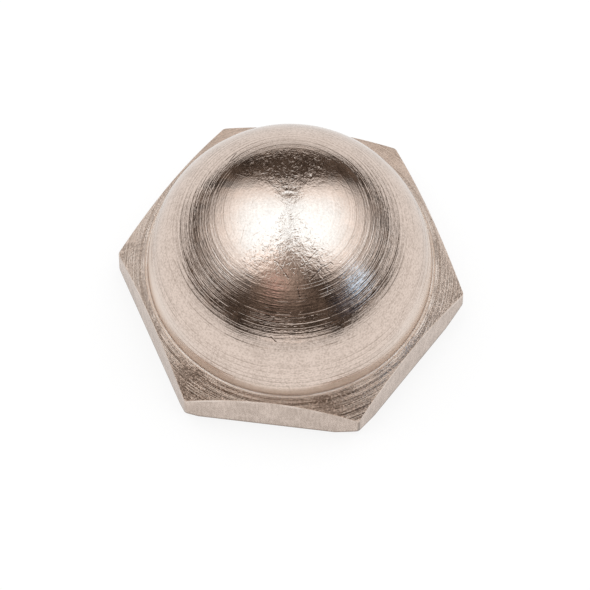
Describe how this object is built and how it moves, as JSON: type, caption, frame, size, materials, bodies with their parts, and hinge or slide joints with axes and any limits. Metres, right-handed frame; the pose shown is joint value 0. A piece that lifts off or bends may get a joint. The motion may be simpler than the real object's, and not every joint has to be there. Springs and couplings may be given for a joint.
{
  "type": "cap nut",
  "caption": "Low hexagonal cap nut with a turned hemispherical dome and a blind tapped hole that covers the end of a bolt or stud.",
  "frame": {"origin": "centre of the flat seat, on the thread axis", "axes": "+Z along the thread axis from the seat toward the crown of the dome, +X toward a corner of the hexagon"},
  "size_m": [0.022, 0.019, 0.0125],
  "materials": {
    "nut_metal": "turned stainless steel, satin from tumbling, with fine concentric turning lines and small handling scratches"
  },
  "bodies": {
    "root": {"cap_nut": "nut_metal"}
  },
  "joints": []
}
